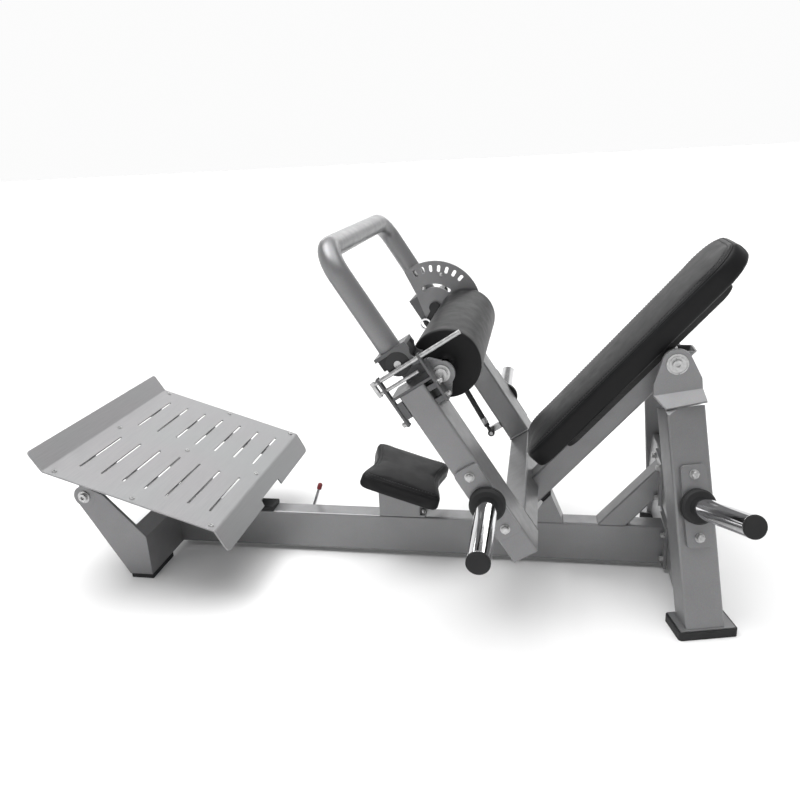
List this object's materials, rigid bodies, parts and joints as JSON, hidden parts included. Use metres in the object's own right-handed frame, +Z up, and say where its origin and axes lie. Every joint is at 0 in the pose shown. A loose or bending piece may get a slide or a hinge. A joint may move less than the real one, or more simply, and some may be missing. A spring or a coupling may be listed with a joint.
{
  "type": "plate-loaded hip thrust machine",
  "caption": "Floor machine with a sloping foot plate, low seat, swinging frame with a backrest and hip roller, a folding U handle and plate horns.",
  "frame": {"origin": "on the floor, under the middle of the whole machine at rest", "axes": "+X from the foot plate to the backrest, +Z up, -Y is the near side, the XZ plane is the middle plane"},
  "size_m": [1.7098, 1.222, 0.9119],
  "materials": {
    "frame_paint": "silver-grey metallic powder coat",
    "yoke_paint": "darker grey metallic powder coat",
    "hub_black": "satin black",
    "foot_sheet": "brushed aluminium sheet",
    "chrome": "polished chrome",
    "zinc": "zinc plated steel",
    "rubber": "black rubber",
    "vinyl": "black upholstery vinyl",
    "board": "black painted plywood",
    "red_tip": "dark red grip"
  },
  "bodies": {
    "base": {"main_beam": "frame_paint", "front_plate_near": "frame_paint", "front_plate_far": "frame_paint", "front_cross_plate": "frame_paint", "front_feet": "rubber", "stop_pads": "rubber", "foot_pivot_bolts": "zinc", "seat_post": "frame_paint", "seat_pad": "vinyl", "rest_bracket": "frame_paint", "brace": "frame_paint", "upper_bridge": "frame_paint", "lower_bridge": "frame_paint", "leg_near": "frame_paint", "leg_far": "frame_paint", "leg_bases": "frame_paint", "rear_feet": "rubber", "pivot_plate_near": "frame_paint", "pivot_plate_far": "frame_paint", "pivot_bearings": "zinc", "pivot_shaft": "zinc", "storage_horn_near": "chrome", "storage_horn_far": "chrome", "storage_collars": "rubber", "storage_caps": "rubber", "leg_horn_plates": "frame_paint", "frame_bolts": "zinc"},
    "foot_board": {"foot_plate": "foot_sheet", "foot_plate_frame": "frame_paint", "foot_plate_screws": "zinc"},
    "lock": {"lock_rod": "chrome", "lock_tip": "red_tip"},
    "swing_frame": {"arm_near": "frame_paint", "arm_far": "frame_paint", "cross_tube": "frame_paint", "back_tube": "frame_paint", "pivot_hub": "frame_paint", "pad_board": "board", "back_pad": "vinyl", "yoke_near": "yoke_paint", "yoke_far": "yoke_paint", "sector_plate": "frame_paint", "roller_lug": "frame_paint", "roller_axle": "zinc", "handle_pivot_pin": "zinc", "weight_horn_near": "chrome", "weight_horn_far": "chrome", "weight_collars": "rubber", "weight_caps": "rubber", "arm_horn_plates": "frame_paint", "arm_bolts": "zinc", "gas_spring_stub": "zinc"},
    "handle": {"handle_tube": "frame_paint", "handle_sockets": "yoke_paint", "handle_hubs": "hub_black", "index_pin": "zinc"},
    "release": {"release_rod": "zinc"},
    "roller": {"roller_pad": "vinyl"},
    "gas_body": {"gas_cylinder": "hub_black"},
    "gas_piston": {"gas_rod": "chrome"}
  },
  "joints": [
    {"name": "swing", "type": "hinge", "parent": "base", "child": "swing_frame", "pos_m": [0.6985, 0, 0.5974], "axis": [0, 1, 0], "range_deg": [0, 34]},
    {"name": "handle_fold", "type": "hinge", "parent": "swing_frame", "child": "handle", "pos_m": [0.10081, 0, 0.64973], "axis": [0, 1, 0], "range_deg": [0, 60]},
    {"name": "roller_spin", "type": "hinge", "parent": "swing_frame", "child": "roller", "pos_m": [0.19159, 0, 0.6249], "axis": [0, 1, 0], "continuous": true},
    {"name": "foot_plate_tilt", "type": "hinge", "parent": "base", "child": "foot_board", "pos_m": [-0.7987, 0, 0.2424], "axis": [0, 1, 0], "range_deg": [-20, 0]},
    {"name": "lock_slide", "type": "slide", "parent": "base", "child": "lock", "axis": [0, 1, 0], "range_m": [0, 0.012]},
    {"name": "release_slide", "type": "slide", "parent": "swing_frame", "child": "release", "axis": [0.8494, 0, 0.5277], "range_m": [0, 0.007]},
    {"name": "gas_pivot", "type": "hinge", "parent": "swing_frame", "child": "gas_body", "pos_m": [0.25721, 0.232, 0.27481], "axis": [0, 1, 0], "range_deg": [-0.4, 0.4]},
    {"name": "gas_slide", "type": "slide", "parent": "gas_body", "child": "gas_piston", "axis": [-0.4779, 0, 0.8784], "range_m": [0, 0.05]}
  ],
  "couplings": [
    {"joint": "gas_slide", "follows": "handle_fold", "m_per_rad": 0.04775}
  ]
}
